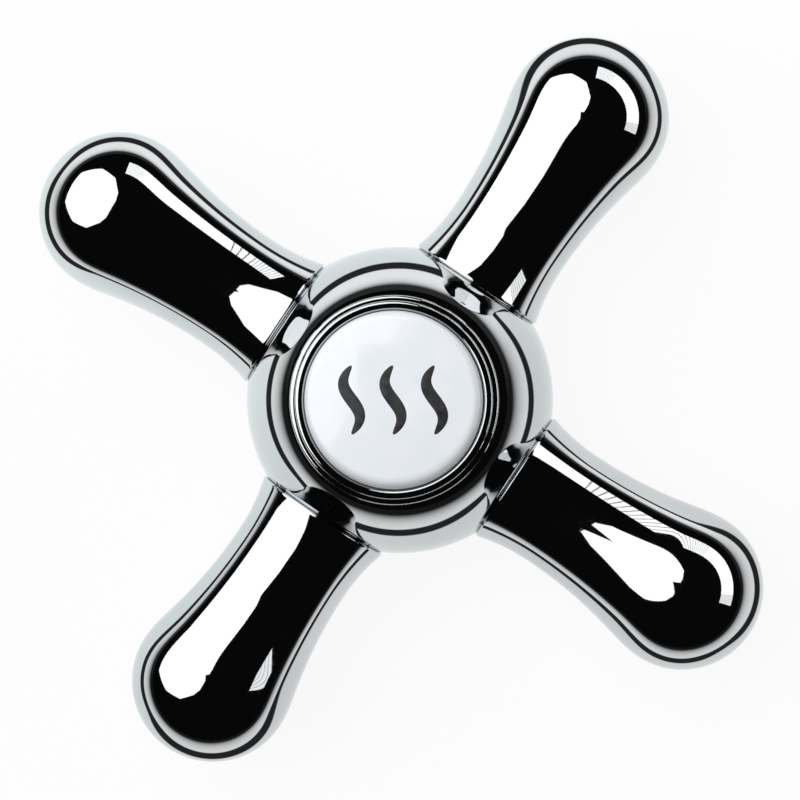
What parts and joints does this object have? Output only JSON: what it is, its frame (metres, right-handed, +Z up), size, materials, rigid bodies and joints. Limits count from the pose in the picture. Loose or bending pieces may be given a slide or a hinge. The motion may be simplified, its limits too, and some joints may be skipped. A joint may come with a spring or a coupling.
{
  "type": "tap handle",
  "caption": "Cross-head tap handle with flared, ball-ended chrome spokes round a ball-shaped hub, a porcelain index in a bezel, and a splined socket for a valve stem.",
  "frame": {"origin": "centre of the collar's bottom rim, on the stem axis", "axes": "+Z up the stem axis to the index disc; the spokes lie along +X, +Y, -X and -Y"},
  "size_m": [0.075, 0.075, 0.0265],
  "materials": {
    "chrome_plate": "bright mirror plate on brass",
    "porcelain": "white glaze",
    "seal_rubber": "moulded nitrile",
    "screw_steel": "stainless, as headed and rolled"
  },
  "bodies": {
    "root": {"hub": "chrome_plate", "spoke_right": "chrome_plate", "spoke_back": "chrome_plate", "spoke_left": "chrome_plate", "spoke_front": "chrome_plate", "index_bezel": "chrome_plate", "index_disc": "porcelain", "index_o_ring": "seal_rubber", "stem_screw": "screw_steel", "screw_washer": "screw_steel"}
  },
  "joints": []
}
